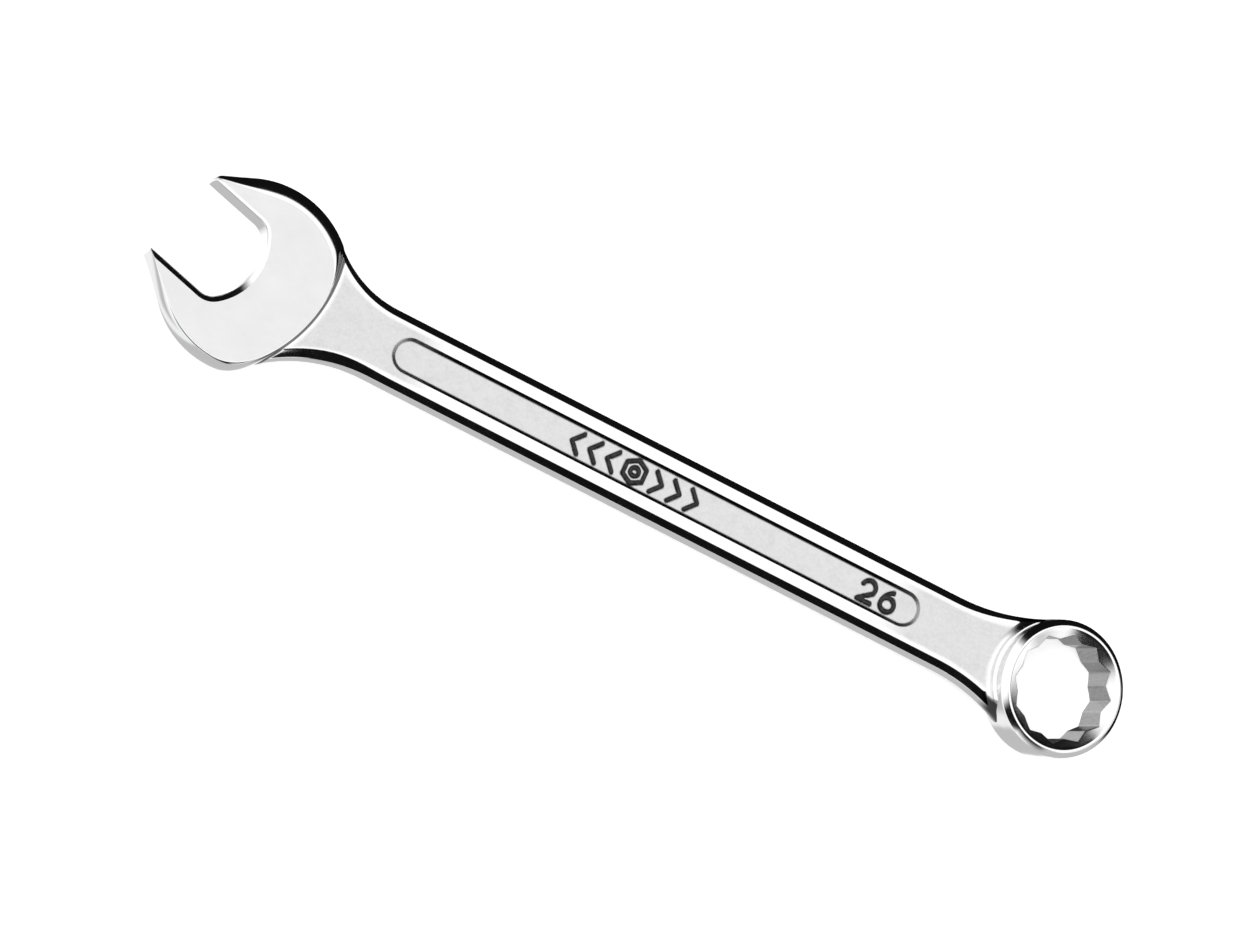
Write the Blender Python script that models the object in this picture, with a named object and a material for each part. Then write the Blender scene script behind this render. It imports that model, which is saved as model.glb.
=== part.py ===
"""A 26 mm combination wrench: open-end head, slim shank with a sunk panel, and an offset 12-point ring.

The real tool is one drop forging. It is modelled here as the three regions that a toolmaker names,
open_end_head, shank and box_end_ring, each a closed solid with a hairline of SEAM between them.

Tool axes: +X runs along the shank from the open end to the ring, +Z is the marked face, and the
object stands on Z = 0 with its bounding box centred on the Z axis.
"""

import math

import bmesh
import bpy
from mathutils import Matrix, Vector

MM = 0.001

# Driving dimensions
ACROSS_FLATS = 26.0 * MM
CENTRE_DISTANCE = 247.0 * MM
JAW_ANGLE = math.radians(15.0)
RING_ANGLE = math.radians(15.0)
SEAM = 0.3 * MM

# Open-end head, in its own axes: +X out of the mouth, origin at the centre of the head
HEAD_THICKNESS = 10.3 * MM
HEAD_RADIUS = 27.4 * MM
HEAD_FACE_RADIUS = 23.9 * MM
HEAD_CHEEK_ANGLE = math.radians(52.0)
HEAD_FACE_CHEEK_ANGLE = math.radians(62.0)
HEAD_BACK_CENTRE = Vector((22.1 * MM, -1.8 * MM))
HEAD_BACK_RADIUS = 42.5 * MM
HEAD_FACE_BACK_RADIUS = 41.3 * MM
HEAD_CORNER_BLEND = 2.0 * MM
MOUTH_REACH = 25.9 * MM
MOUTH_FACE_REACH = 25.4 * MM
MOUTH_SKEW = math.radians(3.6)
TIP_BLEND = 0.8 * MM
THROAT_DEPTH = 0.6 * MM
THROAT_RADIUS = 17.5 * MM
THROAT_CORNER_RADIUS = 5.0 * MM
JAW_CHAMFER = 1.1 * MM

# Shank
SHANK_THICKNESS = 8.7 * MM
SHANK_FACE_WIDTH = 16.3 * MM
SHANK_SIDE_BULGE = 2.7 * MM
SHANK_BEVEL_WIDTH = 2.1 * MM
SHANK_BEVEL_DEPTH = 1.45 * MM
NECK_START = 39.0 * MM
NECK_RADIUS_LEFT = 30.0 * MM
NECK_RADIUS_RIGHT = 47.0 * MM
RING_NECK_LENGTH = 33.0 * MM
SHANK_HIDDEN_START = 12.0 * MM
SHANK_HIDDEN_END = 10.0 * MM
PANEL_WIDTH = 9.9 * MM
PANEL_DEPTH = 0.6 * MM
PANEL_START = 42.9 * MM
PANEL_END = 204.3 * MM

# Box-end ring, in its own axes: +Z along the bore
RING_RADIUS = 18.9 * MM
RING_SHOULDER_RADIUS = 18.8 * MM
RING_THICKNESS = 14.0 * MM
RING_CHAMFER = 1.6 * MM
BORE_MOUTH_RADIUS = 16.6 * MM
BORE_CHAMFER_DEPTH = 1.75 * MM
BORE_POINTS = 12

# Marks engraved in the panel
MARK_HEIGHT = 5.9 * MM
MARK_HALF_WIDTH = 0.75 * MM
MARK_DEPTH = 0.4 * MM
EMBLEM_CENTRE = 117.0 * MM
NUT_HOLE_RADIUS = 1.2 * MM
CHEVRON_COUNT = 3
CHEVRON_FIRST = 8.4 * MM
CHEVRON_SPACING = 5.4 * MM
CHEVRON_LENGTH = 2.6 * MM
NUMERAL_CENTRE = 192.0 * MM
DIGIT_WIDTH = 3.9 * MM
NUMERAL_SPACING = 6.4 * MM
TWO_CROWN_START = math.radians(165.0)
TWO_CROWN_END = math.radians(-35.0)
SIX_TAIL_START = math.radians(178.0)
SIX_TAIL_END = math.radians(112.0)

# Fineness of the round shapes
HEAD_STEPS = 120
WALL_STEPS = 6
ROUND_STEPS = 72
CORNER_STEPS = 6
STATION_LENGTH = 2.5 * MM
MARK_ARC_STEPS = 10
GROOVE_ROUNDNESS = 2

HALF_FLATS = ACROSS_FLATS / 2
SHANK_HALF_WIDTH = SHANK_FACE_WIDTH / 2 + SHANK_SIDE_BULGE
CUT_MARGIN = 2.0 * MM
WELD = 0.001 * MM
TIP_ZONE = math.radians(60.0)


# ---------------------------------------------------------------- meshes and objects


def clear_scene():
    for obj in list(bpy.data.objects):
        bpy.data.objects.remove(obj, do_unlink=True)


def make_material(name, colour, roughness, metallic):
    material = bpy.data.materials.new(name)
    material.use_nodes = True
    shader = material.node_tree.nodes["Principled BSDF"]
    shader.inputs["Base Color"].default_value = (*colour, 1.0)
    shader.inputs["Roughness"].default_value = roughness
    shader.inputs["Metallic"].default_value = metallic
    return material


def make_object(name, bm, material=None, parent=None):
    """Turns a bmesh into a named object with its faces pointing out."""
    bmesh.ops.recalc_face_normals(bm, faces=bm.faces)
    mesh = bpy.data.meshes.new(name)
    bm.to_mesh(mesh)
    bm.free()
    obj = bpy.data.objects.new(name, mesh)
    bpy.context.scene.collection.objects.link(obj)
    obj.parent = parent
    if material:
        mesh.materials.append(material)
    return obj


def make_cutter(name, bm, parent=None):
    cutter = make_object(name, bm, parent=parent)
    cutter.hide_render = True
    cutter.display_type = "WIRE"
    return cutter


def cut(obj, cutter):
    modifier = obj.modifiers.new(cutter.name, "BOOLEAN")
    modifier.operation = "DIFFERENCE"
    modifier.solver = "EXACT"
    modifier.object = cutter


def shade_round(obj, angle=math.radians(30.0)):
    obj.data.shade_smooth()
    obj.data.set_sharp_from_angle(angle=angle)


def loft(loops):
    """A closed body through loops of equal length, each a list of points, with flat end caps."""
    bm = bmesh.new()
    rows = [[bm.verts.new(point) for point in loop] for loop in loops]
    for near, far in zip(rows, rows[1:]):
        for i in range(len(near)):
            j = (i + 1) % len(near)
            bm.faces.new((near[i], near[j], far[j], far[i]))
    bm.faces.new(rows[0])
    bm.faces.new(reversed(rows[-1]))
    return bm


def arc(centre, radius, start, end, steps):
    """Points along an arc from one angle to another, both ends included."""
    angles = [start + (end - start) * i / steps for i in range(steps + 1)]
    return [Vector((centre[0] + radius * math.cos(a), centre[1] + radius * math.sin(a))) for a in angles]


def at_height(outline, z):
    return [Vector((point[0], point[1], z)) for point in outline]


def side_profile(half_thickness, steps):
    """(share of the bulge, height) pairs that take a side wall round from the top face to the bottom one."""
    angles = [math.pi * i / (2 * steps) for i in range(2 * steps + 1)]
    return [(math.sin(a), half_thickness * math.cos(a)) for a in angles]


# ---------------------------------------------------------------- open-end head


def soft_min(a, b, blend):
    """The smaller of two lengths, with the corner between them rounded over the blend length."""
    h = max(blend - abs(a - b), 0.0) / blend
    return min(a, b) - h * h * blend / 4


def head_radius_at(angle, radius, cheek_angle, reach, back_radius):
    """Distance from the head's centre to an outline: round cheeks, straight jaw tips, one flat arc behind."""
    turn = abs(angle)
    cheek = radius if turn >= cheek_angle else radius / math.cos(cheek_angle - turn)
    if turn < TIP_ZONE:
        cheek = soft_min(cheek, reach / math.cos(angle + MOUTH_SKEW), TIP_BLEND)
    along = Vector((math.cos(angle), math.sin(angle))).dot(HEAD_BACK_CENTRE)
    behind = along + math.sqrt(along**2 + back_radius**2 - HEAD_BACK_CENTRE.length_squared)
    return soft_min(cheek, behind, HEAD_CORNER_BLEND)


def head_outline(share):
    """The head's outline at a share of its side bulge: 0 is the ground face's edge, 1 the widest line."""
    points = []
    for i in range(HEAD_STEPS):
        angle = 2 * math.pi * i / HEAD_STEPS - math.pi
        face = head_radius_at(
            angle, HEAD_FACE_RADIUS, HEAD_FACE_CHEEK_ANGLE, MOUTH_FACE_REACH, HEAD_FACE_BACK_RADIUS
        )
        widest = head_radius_at(angle, HEAD_RADIUS, HEAD_CHEEK_ANGLE, MOUTH_REACH, HEAD_BACK_RADIUS)
        reach = face + share * (widest - face)
        points.append(Vector((reach * math.cos(angle), reach * math.sin(angle))))
    return points


def throat_outline(offset):
    """The jaw gap seen from above, grown by an offset: parallel jaws, rounded corners, one shallow arc."""
    arc_centre = THROAT_DEPTH + THROAT_RADIUS
    corner_radius = THROAT_CORNER_RADIUS + offset
    corner_y = HALF_FLATS - THROAT_CORNER_RADIUS
    corner_x = arc_centre - math.sqrt((THROAT_RADIUS - THROAT_CORNER_RADIUS) ** 2 - corner_y**2)
    turn = math.atan2(corner_y, corner_x - arc_centre)
    open_end = MOUTH_REACH + 2 * CUT_MARGIN
    left = arc((corner_x, corner_y), corner_radius, math.pi / 2, turn, CORNER_STEPS)
    floor = arc((arc_centre, 0.0), THROAT_RADIUS + offset, turn, 2 * math.pi - turn, 2 * CORNER_STEPS)
    right = [Vector((point.x, -point.y)) for point in reversed(left)]
    mouth = HALF_FLATS + offset
    return [Vector((open_end, mouth)), *left, *floor[1:-1], *right, Vector((open_end, -mouth))]


def throat_cutter(parent):
    """The jaw gap as a solid that widens at 45 degrees near both faces, to chamfer the jaws' edges."""
    chamfer_foot = HEAD_THICKNESS / 2 - JAW_CHAMFER
    above = HEAD_THICKNESS / 2 + CUT_MARGIN
    widest = above - chamfer_foot
    levels = [(-above, widest), (-chamfer_foot, 0.0), (chamfer_foot, 0.0), (above, widest)]
    loops = [at_height(throat_outline(offset), z) for z, offset in levels]
    return make_cutter("throat_cutter", loft(loops), parent)


def make_open_end_head(steel):
    axes = bpy.data.objects.new("head_axes", None)
    bpy.context.scene.collection.objects.link(axes)
    axes.rotation_euler.z = math.pi - JAW_ANGLE
    loops = [at_height(head_outline(share), z) for share, z in side_profile(HEAD_THICKNESS / 2, WALL_STEPS)]
    head = make_object("open_end_head", loft(loops), steel, axes)
    cut(head, throat_cutter(axes))
    shade_round(head)
    return head


# ---------------------------------------------------------------- shank


def flare(distance, radius):
    """How far a tangent arc has left its straight line, at a distance past the point where it starts."""
    return radius - math.sqrt(radius**2 - distance**2) if distance > 0 else 0.0


def ring_neck():
    """(start, radius) of the arc that joins the shank's edge to the ring's wall, tangent to both."""
    gain = RING_RADIUS - SHANK_HALF_WIDTH
    radius = (RING_NECK_LENGTH**2 / gain - RING_RADIUS - SHANK_HALF_WIDTH) / 2
    return CENTRE_DISTANCE - RING_NECK_LENGTH, radius


def shank_half_width(x, neck_radius):
    """Half of the shank's full width at x, on the side whose neck has the given radius."""
    start, radius = ring_neck()
    return SHANK_HALF_WIDTH + flare(NECK_START - x, neck_radius) + flare(x - start, radius)


def shank_section(x):
    """A flat top and bottom face, with a bevel at each edge and slightly crowned sides."""
    left = shank_half_width(x, NECK_RADIUS_LEFT) - SHANK_SIDE_BULGE
    right = shank_half_width(x, NECK_RADIUS_RIGHT) - SHANK_SIDE_BULGE
    face = SHANK_THICKNESS / 2
    shoulder = face - SHANK_BEVEL_DEPTH
    upper = [(0.0, face), (SHANK_BEVEL_WIDTH, shoulder)]
    lower = [(beyond, -z) for beyond, z in reversed(upper)]
    profile = [*upper, (SHANK_SIDE_BULGE, 0.0), *lower]
    left_side = [Vector((x, left + beyond, z)) for beyond, z in profile]
    right_side = [Vector((x, -right - beyond, z)) for beyond, z in reversed(profile)]
    return left_side + right_side


def spread(start, end, step):
    """Evenly spaced values from start to end, about a step apart."""
    count = round((end - start) / step)
    return [start + (end - start) * i / count for i in range(count + 1)]


def shank_stations():
    """Close together where the outline curves, and far apart along the straight middle."""
    neck = spread(SHANK_HIDDEN_START, NECK_START, STATION_LENGTH)
    ring_start, _ = ring_neck()
    return neck + spread(ring_start, CENTRE_DISTANCE - SHANK_HIDDEN_END, STATION_LENGTH)


def head_seam_cutter():
    """A round-ended block that ends the shank a SEAM short of the head's back wall."""
    centre = Matrix.Rotation(math.pi - JAW_ANGLE, 2) @ HEAD_BACK_CENTRE
    outline = arc(centre, HEAD_BACK_RADIUS + SEAM, 0.0, 2 * math.pi, 2 * ROUND_STEPS)[:-1]
    half = SHANK_THICKNESS / 2 + CUT_MARGIN
    return make_cutter("head_seam_cutter", loft([at_height(outline, z) for z in (-half, half)]))


def panel_cutter(side):
    """The sunk panel on one face: a long slot with round ends. side is 1 on top and -1 underneath."""
    radius = PANEL_WIDTH / 2
    outline = arc((PANEL_END - radius, 0.0), radius, -math.pi / 2, math.pi / 2, 2 * CORNER_STEPS)
    outline += arc((PANEL_START + radius, 0.0), radius, math.pi / 2, 1.5 * math.pi, 2 * CORNER_STEPS)
    floor = side * (SHANK_THICKNESS / 2 - PANEL_DEPTH)
    above = side * (SHANK_THICKNESS / 2 + CUT_MARGIN)
    loops = [at_height(outline, z) for z in sorted((floor, above))]
    return make_cutter("panel_cutter_top" if side > 0 else "panel_cutter_bottom", loft(loops))


def make_shank(steel):
    shank = make_object("shank", loft([shank_section(x) for x in shank_stations()]), steel)
    cut(shank, head_seam_cutter())
    cut(shank, ring_seam_cutter())
    for side in (1, -1):
        cut(shank, panel_cutter(side))
    for cutter in mark_cutters():
        cut(shank, cutter)
    shade_round(shank)
    return shank


# ---------------------------------------------------------------- marks in the panel


def groove_cutter(name, path):
    """A round-nosed groove along a path of (x, y) points, cut into the floor of the top panel."""
    floor = SHANK_THICKNESS / 2 - PANEL_DEPTH
    nose = (MARK_HALF_WIDTH**2 + MARK_DEPTH**2) / (2 * MARK_DEPTH)
    curve = bpy.data.curves.new(name, "CURVE")
    curve.dimensions = "3D"
    curve.bevel_depth = nose
    curve.bevel_resolution = GROOVE_ROUNDNESS
    curve.use_fill_caps = True
    closed = (path[0] - path[-1]).length < WELD
    points = path[:-1] if closed else path
    spline = curve.splines.new("POLY")
    spline.points.add(len(points) - 1)
    spline.use_cyclic_u = closed
    for spot, point in zip(spline.points, points):
        spot.co = (*point, floor + nose - MARK_DEPTH, 1.0)
    guide = bpy.data.objects.new(name + "_guide", curve)
    bm = bmesh.new()
    bm.from_mesh(bpy.data.meshes.new_from_object(guide))
    bmesh.ops.remove_doubles(bm, verts=bm.verts, dist=WELD)
    bpy.data.objects.remove(guide)
    return make_cutter(name, bm)


def emblem_paths():
    """A plain hexagon nut with three chevrons on each side of it, pointing away."""
    centre = Vector((EMBLEM_CENTRE, 0.0))
    nut = arc(centre, MARK_HEIGHT / math.sqrt(3.0), math.pi / 6, 2 * math.pi + math.pi / 6, 6)
    hole = arc(centre, NUT_HOLE_RADIUS, 0.0, 2 * math.pi, MARK_ARC_STEPS)
    paths = {"emblem_nut": nut, "emblem_nut_hole": hole}
    for side in (1, -1):
        for i in range(CHEVRON_COUNT):
            tip = EMBLEM_CENTRE + side * (CHEVRON_FIRST + i * CHEVRON_SPACING)
            back = tip - side * CHEVRON_LENGTH
            label = f"emblem_chevron_{'right' if side > 0 else 'left'}_{i + 1}"
            paths[label] = [
                Vector((back, MARK_HEIGHT / 2)),
                Vector((tip, 0.0)),
                Vector((back, -MARK_HEIGHT / 2)),
            ]
    return paths


def numeral_paths():
    """The size, 26, in plain round strokes."""
    half_width = DIGIT_WIDTH / 2
    foot = -MARK_HEIGHT / 2
    two_x = NUMERAL_CENTRE - NUMERAL_SPACING / 2
    crown = arc((two_x, -foot - half_width), half_width, TWO_CROWN_START, TWO_CROWN_END, MARK_ARC_STEPS)
    two = [*crown, Vector((two_x - half_width, foot)), Vector((two_x + half_width, foot))]
    six_x = NUMERAL_CENTRE + NUMERAL_SPACING / 2
    bowl_y = foot + half_width
    bowl = arc((six_x, bowl_y), half_width, 0.0, 2 * math.pi, MARK_ARC_STEPS)
    sweep = MARK_HEIGHT - half_width
    tail_centre = (six_x + sweep - half_width, bowl_y)
    tail = arc(tail_centre, sweep, SIX_TAIL_START, SIX_TAIL_END, MARK_ARC_STEPS // 2)
    return {"numeral_two": two, "numeral_six_bowl": bowl, "numeral_six_tail": tail}


def mark_cutters():
    return [groove_cutter(name, path) for name, path in {**emblem_paths(), **numeral_paths()}.items()]


# ---------------------------------------------------------------- box-end ring


def ring_axes(name):
    axes = bpy.data.objects.new(name, None)
    bpy.context.scene.collection.objects.link(axes)
    axes.location.x = CENTRE_DISTANCE
    axes.rotation_euler.y = RING_ANGLE
    return axes


def turned(profile, steps=ROUND_STEPS):
    """A solid of revolution about Z from (radius, height) points that run from the axis to the axis."""
    angles = [2 * math.pi * i / steps for i in range(steps)]
    rims = [[Vector((r * math.cos(a), r * math.sin(a), z)) for a in angles] for r, z in profile]
    return loft(rims)


def ring_body():
    """The ring before it is bored: a low barrel with chamfered rims."""
    half = RING_THICKNESS / 2
    upper = [(RING_SHOULDER_RADIUS - RING_CHAMFER, half), (RING_SHOULDER_RADIUS, half - RING_CHAMFER)]
    lower = [(radius, -z) for radius, z in reversed(upper)]
    return turned([*upper, (RING_RADIUS, 0.0), *lower])


def bore_cutter(parent):
    """The 12-point drive: points at every 15 degrees that the shank's line doesn't run through."""
    outer = HALF_FLATS / math.cos(math.pi / 6)
    inner = HALF_FLATS / math.cos(math.pi / BORE_POINTS)
    outline = []
    for i in range(2 * BORE_POINTS):
        radius = outer if i % 2 else inner
        angle = math.pi * i / BORE_POINTS
        outline.append(Vector((radius * math.cos(angle), radius * math.sin(angle))))
    half = RING_THICKNESS / 2 + CUT_MARGIN
    return make_cutter("bore_cutter", loft([at_height(outline, z) for z in (-half, half)]), parent)


def bore_mouth_cutter(side, parent):
    """The cone that leads a nut in, on one face of the ring."""
    half = RING_THICKNESS / 2
    inner = HALF_FLATS / math.cos(math.pi / BORE_POINTS)
    slope = (BORE_MOUTH_RADIUS - inner) / BORE_CHAMFER_DEPTH
    deep = half - 2 * BORE_CHAMFER_DEPTH
    high = half + CUT_MARGIN
    profile = [(BORE_MOUTH_RADIUS + slope * (z - half), side * z) for z in (deep, high)]
    return make_cutter("mouth_cutter_top" if side > 0 else "mouth_cutter_bottom", turned(profile), parent)


def ring_seam_cutter():
    """A cylinder that ends the shank a SEAM short of the ring's wall."""
    profile = [(RING_RADIUS + SEAM, z) for z in (-RING_THICKNESS, RING_THICKNESS)]
    return make_cutter("ring_seam_cutter", turned(profile), ring_axes("seam_axes"))


def make_box_end_ring(steel):
    axes = ring_axes("ring_axes")
    ring = make_object("box_end_ring", ring_body(), steel, axes)
    cut(ring, bore_cutter(axes))
    for side in (1, -1):
        cut(ring, bore_mouth_cutter(side, axes))
    shade_round(ring)
    return ring


# ---------------------------------------------------------------- assembly


def lowest_and_highest(objects):
    """Corners of the box around the finished objects."""
    graph = bpy.context.evaluated_depsgraph_get()
    points = []
    for obj in objects:
        shaped = obj.evaluated_get(graph)
        points += [shaped.matrix_world @ vertex.co for vertex in shaped.data.vertices]
    low = Vector([min(point[axis] for point in points) for axis in range(3)])
    high = Vector([max(point[axis] for point in points) for axis in range(3)])
    return low, high


def stand_on_origin(regions):
    """Moves everything together so that the bounding box stands centred on the origin."""
    bpy.context.view_layer.update()
    low, high = lowest_and_highest(regions)
    middle = (low + high) / 2
    loose = [obj for obj in bpy.data.objects if obj.parent is None]
    base = bpy.data.objects.new("wrench", None)
    for obj in loose:
        obj.parent = base
    bpy.context.scene.collection.objects.link(base)
    base.location = (-middle.x, -middle.y, -low.z)


def main():
    clear_scene()
    head_steel = make_material("satin_face_steel", (0.78, 0.78, 0.78), 0.3, 1.0)
    shank_steel = make_material("polished_shank_steel", (0.74, 0.74, 0.74), 0.22, 1.0)
    ring_steel = make_material("polished_ring_steel", (0.72, 0.72, 0.72), 0.2, 1.0)
    regions = [make_open_end_head(head_steel), make_shank(shank_steel), make_box_end_ring(ring_steel)]
    stand_on_origin(regions)


main()
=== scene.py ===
"""Looks of the 26 mm combination wrench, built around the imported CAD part.

Shapes are worked out in millimetres in the tool's own axes: the head's centre is the origin, +X runs
along the shank to the ring, +Y is the left side and +Z the marked face. Three closed meshes stand for
the three CAD regions, and each one runs a little way into its neighbour, so that no seam shows.
"""

import math

import bpy
import numpy as np
from mathutils import Matrix, Vector


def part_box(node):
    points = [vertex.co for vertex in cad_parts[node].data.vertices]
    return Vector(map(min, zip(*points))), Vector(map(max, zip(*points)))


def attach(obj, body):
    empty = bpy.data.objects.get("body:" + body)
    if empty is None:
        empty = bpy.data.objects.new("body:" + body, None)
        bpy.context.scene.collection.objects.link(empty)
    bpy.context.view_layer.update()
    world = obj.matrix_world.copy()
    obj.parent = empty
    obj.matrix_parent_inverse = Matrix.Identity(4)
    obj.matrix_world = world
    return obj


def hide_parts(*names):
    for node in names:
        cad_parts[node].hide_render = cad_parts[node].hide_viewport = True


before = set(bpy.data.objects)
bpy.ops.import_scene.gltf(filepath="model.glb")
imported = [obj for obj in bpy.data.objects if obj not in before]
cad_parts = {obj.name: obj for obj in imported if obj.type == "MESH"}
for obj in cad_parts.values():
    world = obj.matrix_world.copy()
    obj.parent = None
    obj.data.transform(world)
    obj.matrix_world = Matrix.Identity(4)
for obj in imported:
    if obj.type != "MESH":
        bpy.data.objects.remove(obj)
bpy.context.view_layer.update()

MM = 0.001
HALVINGS = 40

# ---------------------------------------------------------------- driving sizes, in millimetres

# A size given as a pair holds the value for the left side, +Y, and then for the right side, -Y. A SPAN holds
# where a blend starts and where it is complete, and a SEARCH holds an x outside a wall and one inside it.

HALF_FLATS = 13.0
CENTRE_DISTANCE = 247.0
JAW_ANGLE = math.radians(15.0)
RING_ANGLE = math.radians(15.0)
OVERLAP = 1.0

# Open-end head. Its face is ground flat, and its side swells from the face's edge to the widest outline.
# Angles are taken round its centre, from the axis of its mouth. Past MOUTH_TURN the ends of the jaws no
# longer cut the outline, and MOUTH_TURN_LIMIT keeps their line finite there. One side's sizes pass into the
# other's where the angle's sine lies between -HEAD_SIDE_CHANGE and HEAD_SIDE_CHANGE.
HEAD_HALF = 5.15
HEAD_RADIUS = (27.4, 26.5)
HEAD_FACE_RADIUS = (22.3, 25.0)
HEAD_CHEEK_ANGLE = np.radians((52.0, 54.0))
HEAD_FACE_CHEEK_ANGLE = np.radians((67.0, 59.0))
HEAD_CORNER_BLEND = (1.0, 2.0)
HEAD_FACE_CORNER_BLEND = (3.0, 4.0)
HEAD_SIDE_CHANGE = 0.6
HEAD_BACK_CENTRE = np.array([22.1, -1.8])
HEAD_BACK_RADIUS = 42.5
HEAD_FACE_BACK_RADIUS = 41.3
HEAD_SWELL_TURNS = np.radians(
    [0, 2, 4, 6, 8, 10, 12, 15, 18, 21, 24, 27, 30, 33, 36, 39, 42, 46, 52, 60, 70, 80, 90])
HEAD_OUTLINE_POINTS = 380
MOUTH_REACH = 25.9
MOUTH_FACE_REACH = 25.4
MOUTH_SKEW = math.radians(3.6)
MOUTH_TURN = 1.2
MOUTH_TURN_LIMIT = 1.4
TIP_BLEND = 0.8
TIP_CUT = 0.35
THROAT_DEPTH = 0.6
THROAT_RADIUS = 17.5
THROAT_CORNER_RADIUS = 5.0
JAW_POINTS = 12
JAW_CHAMFER_WIDTH = (0.85, 1.75)
JAW_CHAMFER_DEPTH = (0.85, 1.05)
JAW_CHAMFER_CUT = 0.3

# Shank. Its core keeps its width, and what lies beyond the core follows the flare at both ends. Fillets lift
# a face's points fully, and those of its bevel in part: FACE_LEVEL_SPAN is in shares of the half thickness.
SHANK_HALF = 4.35
SHANK_FACE_HALF_WIDTH = 8.15
SHANK_CORE = 6.5
BEVEL_WIDTH = 2.05
BEVEL_DEPTH = 1.45
SIDE_BULGE = 2.6
SIDE_SHOULDER_HEIGHT = 1.6
SIDE_SHOULDER_INSET = 0.15
SIDE_EDGE_INSET = 0.9
NECK_BEVEL_GAIN = (-0.05, 0.27)
NECK_BEVEL_SPAN = (47.0, 25.0)
RING_BEVEL_GAIN = (-0.3, 0.1)
RING_BEVEL_SPAN = (212.0, 232.0)
NECK_START = (39.8, 39.0)
NECK_RADIUS = (30.0, 44.0)
NECK_LIMIT = 23.3
NECK_LIMIT_BLEND = 2.0
RING_NECK_LENGTH = 33.0
RING_DIVE_START = 236.0
RING_DIVE = 0.12
HEAD_SEARCH = (39.0, 6.0)
RING_SEARCH = (206.0, 243.0)
HEAD_FILLET = 0.6
RING_FILLET = 2.4
FOOT_RISE_LENGTH = 20.0
FOOT_CLEARANCE = 0.3
FACE_LEVEL_SPAN = (0.55, 1.0)

PANEL_HALF_WIDTH = 4.95
PANEL_DEPTH = 0.65
PANEL_WALL_WIDTH = 0.95
PANEL_WALL_TOP = 0.15
PANEL_WALL_CUT = 0.12
PANEL_START = 42.9
PANEL_END = 204.3

# Box-end ring.
RING_RADIUS = 18.9
RING_HALF = 7.0
RING_EDGE = 1.6
RING_DRAFT = 0.1
RING_CONTACT = 14.5
BORE_MOUTH_RADIUS = 16.6
BORE_CHAMFER_DEPTH = 1.75
BORE_POINTS = 12
BORE_LIP = 0.6
BORE_EDGE_CUT = 0.18
BORE_POINT_CUT = 0.22
BORE_NOTCH_CUT = 0.3

# Marks in the panel.
MARK_HEIGHT = 5.9
MARK_HALF_WIDTH = 0.75
MARK_DEPTH = 0.4
NO_MARK = 9.0
EMBLEM_CENTRE = 117.0
NUT_HOLE_RADIUS = 1.2
CHEVRON_COUNT = 3
CHEVRON_FIRST = 8.4
CHEVRON_SPACING = 5.4
CHEVRON_LENGTH = 2.6
NUMERAL_CENTRE = 192.0
DIGIT_WIDTH = 3.9
NUMERAL_SPACING = 6.4

# ---------------------------------------------------------------- finishes and painted shade, in millimetres
# The two shares, for the head and for the panel, say how much of the painted shade's dark colour shows at
# most. The shade is painted into the corners at the head and at the foot of the panel's wall. Painted shade
# and a painted dark reflection also lie on the shank's bevel and upper side next to the ring. A LEVEL is a
# height as a share of the shank's half thickness.

SATIN_HEAD_SPAN = (60.0, 47.0)
SATIN_RING_SPAN = (190.0, 205.0)
SATIN_EDGE_SPAN = (0.5, 1.6)
SATIN_PANEL_SPAN = (-0.45, -0.75)
SATIN_FROM_HEAD_SPAN = (0.6, 1.6)
SATIN_FROM_RING_SPAN = (0.6, 2.0)
HEAD_SHADE_SHARE = 0.85
PANEL_SHADE_SHARE = 0.6
SHADE_WIDTH = 0.45
SHADE_BACK_SPAN = (8.0, 12.0)
SHADE_BACK_REACH = 0.3
SHADE_STEP_FOOT = 0.4
SHADE_STEP_TOP = 0.25
SHADE_RING_SPAN = (3.2, 1.0)
SHADE_HIGH_LEVEL_SPAN = (0.99, 0.93)
SHADE_LOW_LEVEL_SPAN = (-0.3, 0.5)
SHADE_WALL_TOP_SPAN = (0.1, -0.1)
SHADE_WALL_FOOT_SPAN = (-0.95, -0.8)
# How far in from a mark's edge its dark colour starts, and where it is full.
MARK_DARK_INSET = (0.02, 0.16)

# ---------------------------------------------------------------- steel
# A pair holds the lowest and the highest value of a finish that varies from place to place.

POLISHED = 0.93
GROUND = (0.825, 0.865)
SATIN = (0.66, 0.865)
BROACHED = (0.34, 0.47)
# The marks' grooves are coloured almost black.
MARK_DARK = (0.02, 0.08)
# Painted shade: the colour painted into the corners, and as a dark reflection next to the ring.
PAINTED_SHADE = 0.05
POLISHED_ROUGHNESS = (0.08, 0.14)
RING_ROUGHNESS = (0.07, 0.13)
GROUND_ROUGHNESS = (0.34, 0.44)
SATIN_ROUGHNESS = (0.3, 0.5)
BROACHED_ROUGHNESS = (0.25, 0.4)
TURNED_ROUGHNESS = 0.2
MARK_ROUGHNESS = 0.5

# ---------------------------------------------------------------- camera, floor and light
# Lengths and places are in metres, the lens and the sensor in millimetres, and the power in watts.

CAMERA_BACK = (-0.163, -0.2207, 0.962)
CAMERA_UP = (-0.4494, 0.8845, 0.127)
CAMERA_TARGET = (-0.00214, 0.00019, 0.01113)
CAMERA_WIDTH = 0.3408
CAMERA_LENS = 1000.0
CAMERA_SENSOR = 36.0
CAMERA_CLIP = 20.0
FLOOR_HALF = 8.0
FLOOR_SHADE = 0.94
FLOOR_ROUGHNESS = 0.9
FLOOR_GLOW = 0.35
LIGHT_PLACE = (-0.4, -0.5, 2.2)
LIGHT_BACK = (-0.18, -0.22, 0.96)
LIGHT_SIZE = 2.5
LIGHT_POWER = 40.0

# ---------------------------------------------------------------- studio, as the steel sees it
# Spans are parts of a unit direction: x points along the tool to the ring, y to its left side and z up.

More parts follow.
